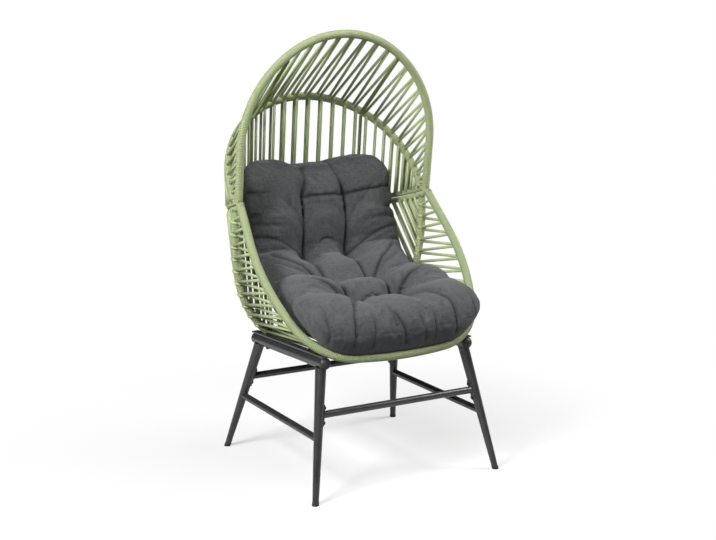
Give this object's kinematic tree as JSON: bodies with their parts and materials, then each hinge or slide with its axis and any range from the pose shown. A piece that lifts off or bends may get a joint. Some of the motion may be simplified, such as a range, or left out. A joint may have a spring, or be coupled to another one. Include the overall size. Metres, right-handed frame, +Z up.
{
  "type": "garden lounge chair",
  "caption": "High-backed wicker egg chair for a patio: open strand hood and seat basket on splayed steel legs with stretchers, and a loose tufted pad for seat and back",
  "frame": {"origin": "on the floor under the middle of the chair's box", "axes": "+Z up, +Y to the chair's back (the sitter faces -Y), +X to the right in a front view"},
  "size_m": [0.7736, 0.7866, 1.417],
  "materials": {
    "base_steel": "fine powder coat, charcoal",
    "egg_steel": "powder coat, green",
    "wicker": "satin extruded strand, sage green",
    "end_plastic": "moulded, black",
    "fasteners": "blackened",
    "insert_brass": "plain",
    "cushion_fabric": "linen weave, charcoal grey"
  },
  "bodies": {
    "chair": {"foot_glides": "end_plastic", "front_left_leg": "base_steel", "front_right_leg": "base_steel", "front_stretcher": "base_steel", "hood_arch_tube": "egg_steel", "hood_arch_wrap": "wicker", "hood_back_strands_inner": "wicker", "hood_back_strands_outer": "wicker", "hood_hoop_tube": "egg_steel", "hood_hoop_wrap": "wicker", "hood_join_rail": "egg_steel", "hood_join_wrap": "wicker", "hood_roof_lacing": "wicker", "join_bolts": "fasteners", "join_nuts": "fasteners", "left_back_strut": "wicker", "left_roof_strut": "wicker", "left_seat_bearer": "base_steel", "left_side_lacing": "wicker", "left_side_rail": "base_steel", "left_side_stretcher": "base_steel", "rail_end_caps": "end_plastic", "rear_left_leg": "base_steel", "rear_right_leg": "base_steel", "rear_stretcher": "base_steel", "right_back_strut": "wicker", "right_roof_strut": "wicker", "right_seat_bearer": "base_steel", "right_side_lacing": "wicker", "right_side_rail": "base_steel", "right_side_stretcher": "base_steel", "seat_back_strands_inner": "wicker", "seat_back_strands_outer": "wicker", "seat_bolts": "fasteners", "seat_floor_lacing": "wicker", "seat_join_rail": "egg_steel", "seat_join_wrap": "wicker", "seat_nuts": "fasteners", "seat_rear_tube": "egg_steel", "seat_rear_wrap": "wicker", "seat_rim_tube": "egg_steel", "seat_rim_wrap": "wicker", "seat_washers": "fasteners", "stretcher_bolts": "fasteners", "stretcher_inserts": "insert_brass", "stretcher_saddles": "base_steel"},
    "pad": {"cushion": "cushion_fabric"}
  },
  "joints": [
    {"name": "cushion_lift", "type": "slide", "parent": "chair", "child": "pad", "axis": [0, -0.9397, 0.342], "range_m": [0, 0.45]}
  ]
}
